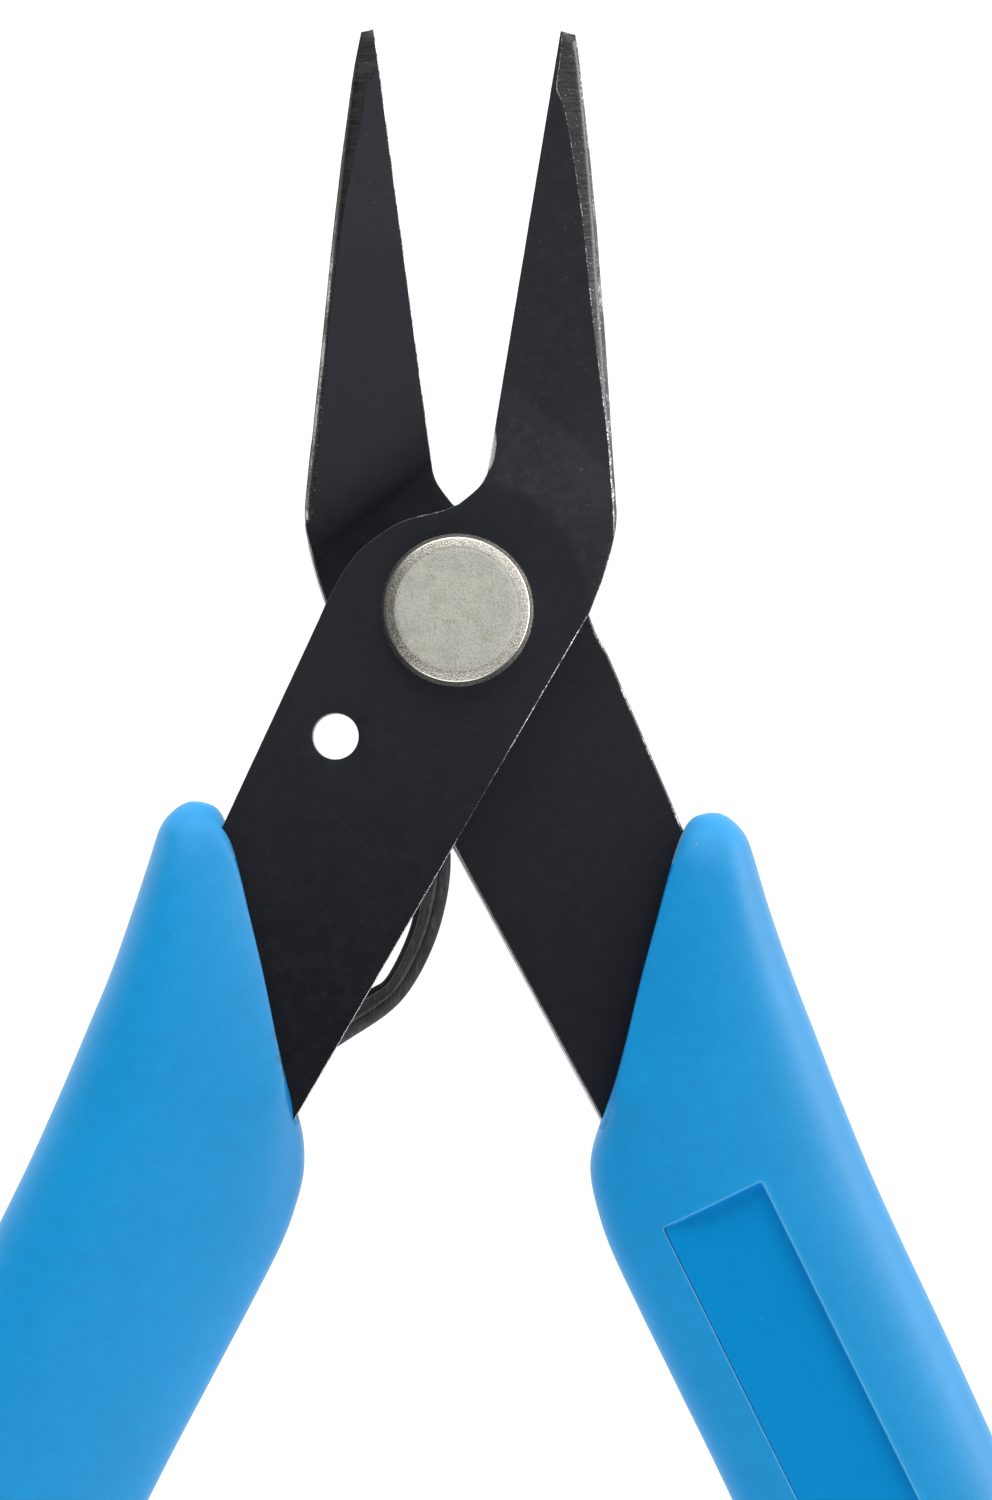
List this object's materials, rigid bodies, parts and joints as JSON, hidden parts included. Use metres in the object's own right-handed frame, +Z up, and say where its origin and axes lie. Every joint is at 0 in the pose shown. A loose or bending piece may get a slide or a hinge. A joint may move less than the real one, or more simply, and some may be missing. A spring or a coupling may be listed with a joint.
{
  "type": "long nose pliers",
  "caption": "Spring-return long-nose pliers with smooth tapered jaws, lapped flat steel levers on one rivet and moulded blue rubber grips.",
  "frame": {"origin": "on the table under the middle of the tool's box, lying flat and open as it rests", "axes": "+Y towards the jaw tips, +Z up along the pivot axis, +X to the right seen from the rivet's head"},
  "size_m": [0.09, 0.1406, 0.0105],
  "materials": {
    "blade_steel": "black oxide, satin",
    "rivet_steel": "tumbled, matte",
    "grip_rubber": "satin, fine moulded grain",
    "spring_plastic": "matte, moulded"
  },
  "bodies": {
    "front_lever": {"front_blade": "blade_steel", "left_grip": "grip_rubber", "pivot_rivet": "rivet_steel", "rivet_washer": "rivet_steel"},
    "rear_lever": {"rear_blade": "blade_steel", "right_grip": "grip_rubber"},
    "spring": {"return_spring": "spring_plastic"}
  },
  "joints": [
    {"name": "pivot", "type": "hinge", "parent": "front_lever", "child": "rear_lever", "pos_m": [0, 0.03222, 0.00525], "axis": [0, 0, 1], "range_deg": [-18.2, 0], "stiffness_Nm_per_rad": 1},
    {"name": "spring_flex", "type": "hinge", "parent": "front_lever", "child": "spring", "pos_m": [-0.011, 0.00201, 0.00405], "axis": [0, 0, 1], "range_deg": [0, 23], "deforming": ["return_spring"]}
  ],
  "couplings": [
    {"joint": "spring_flex", "follows": "pivot", "ratio": -1.26}
  ]
}
